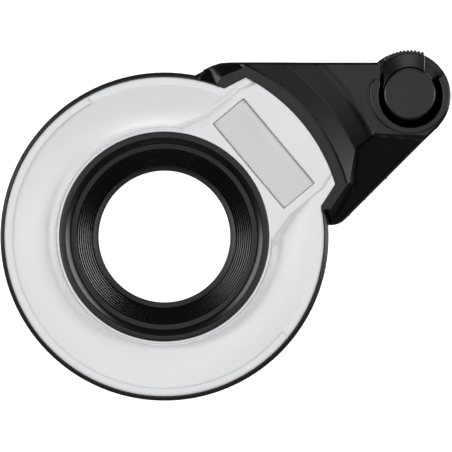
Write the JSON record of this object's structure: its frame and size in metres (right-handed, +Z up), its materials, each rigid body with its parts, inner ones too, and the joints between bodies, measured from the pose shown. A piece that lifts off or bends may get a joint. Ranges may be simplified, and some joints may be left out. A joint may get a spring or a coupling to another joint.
{
  "type": "clip-on ring light",
  "caption": "Compact camera ring light: white dished diffuser ring with a lamp window, lens baffle, bayonet mount, and a light-duct arm with a shutter lever.",
  "frame": {"origin": "on the lens axis, in the rear seating plane where the locating bore opens", "axes": "+Y out of the back towards the camera, -Y out of the lit front, +Z up, +X to the right seen from the front, towards the lever"},
  "size_m": [0.0754, 0.0175, 0.0587],
  "materials": {
    "black_shell": "moulded black ABS, fine satin",
    "baffle_black": "matt black, anti-glare steps",
    "lever_black": "satin black",
    "diffuser_white": "satin opal white",
    "window_frost": "frosted grey-white, fine texture",
    "reflector_white": "glossy white",
    "clear_acrylic": "clear acrylic",
    "mirror_film": "aluminised film",
    "steel": "plain steel",
    "mount_steel": "turned stainless steel",
    "brass": "turned brass",
    "foam": "soft black foam",
    "washer_white": "natural acetal",
    "dot_white": "paint inlay"
  },
  "bodies": {
    "housing": {"rear_cover": "black_shell", "front_cover": "black_shell", "lens_baffle": "baffle_black", "diffuser_ring": "diffuser_white", "window_diffuser": "window_frost", "lamp_tunnel": "reflector_white", "lamp_guide": "clear_acrylic", "light_guide": "clear_acrylic", "reflector_ring": "reflector_white", "diffusion_film": "window_frost", "duct_reflector": "reflector_white", "turning_mirror": "mirror_film", "inlet_lens": "clear_acrylic", "inlet_seal": "foam", "lens_seal": "foam", "bayonet_ring": "mount_steel", "bayonet_screws": "steel", "lock_spring": "steel", "alignment_dot": "dot_white", "cover_screws": "steel", "lever_bush": "brass", "lever_washer": "washer_white", "detent_ball": "steel", "detent_spring": "steel"},
    "lever": {"lever_knob": "lever_black", "lever_cap": "lever_black", "lever_screw": "steel", "lever_shaft": "brass", "shutter_blade": "baffle_black", "blade_clip": "steel"}
  },
  "joints": [
    {"name": "lever_turn", "type": "hinge", "parent": "housing", "child": "lever", "pos_m": [0.041, -0.006, 0.02385], "axis": [0, 1, 0], "range_deg": [0, 30]}
  ]
}
